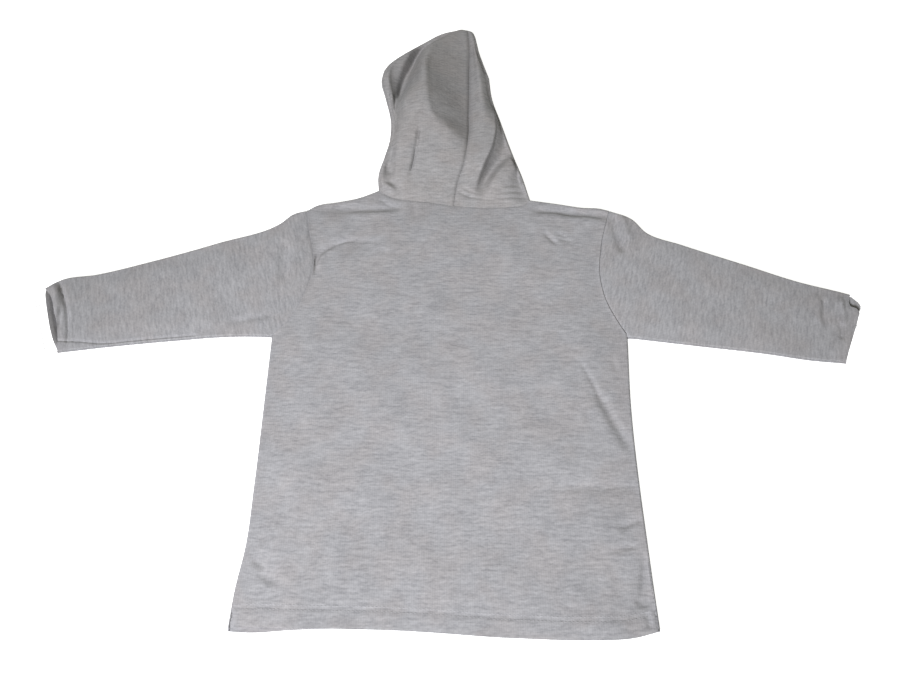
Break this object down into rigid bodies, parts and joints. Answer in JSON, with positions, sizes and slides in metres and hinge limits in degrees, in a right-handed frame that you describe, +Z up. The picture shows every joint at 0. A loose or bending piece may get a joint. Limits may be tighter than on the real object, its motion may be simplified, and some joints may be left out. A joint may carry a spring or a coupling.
{
  "type": "hooded cardigan",
  "caption": "Small child's long-sleeved hooded cardigan in grey marl jersey, laid flat on its front with the sleeves spread and the hood up.",
  "frame": {"origin": "under the middle of the laid-out garment, on the surface it rests on", "axes": "+X from the left cuff to the right cuff seen from above, +Y from the hem to the hood, +Z up from the surface"},
  "size_m": [0.7722, 0.707, 0.0254],
  "materials": {
    "marl_jersey": "matt marl jersey knit"
  },
  "bodies": {
    "root": {"back": "marl_jersey", "front_left": "marl_jersey", "front_right": "marl_jersey", "sleeve_left": "marl_jersey", "sleeve_right": "marl_jersey", "hood_left": "marl_jersey", "hood_right": "marl_jersey"}
  },
  "joints": []
}
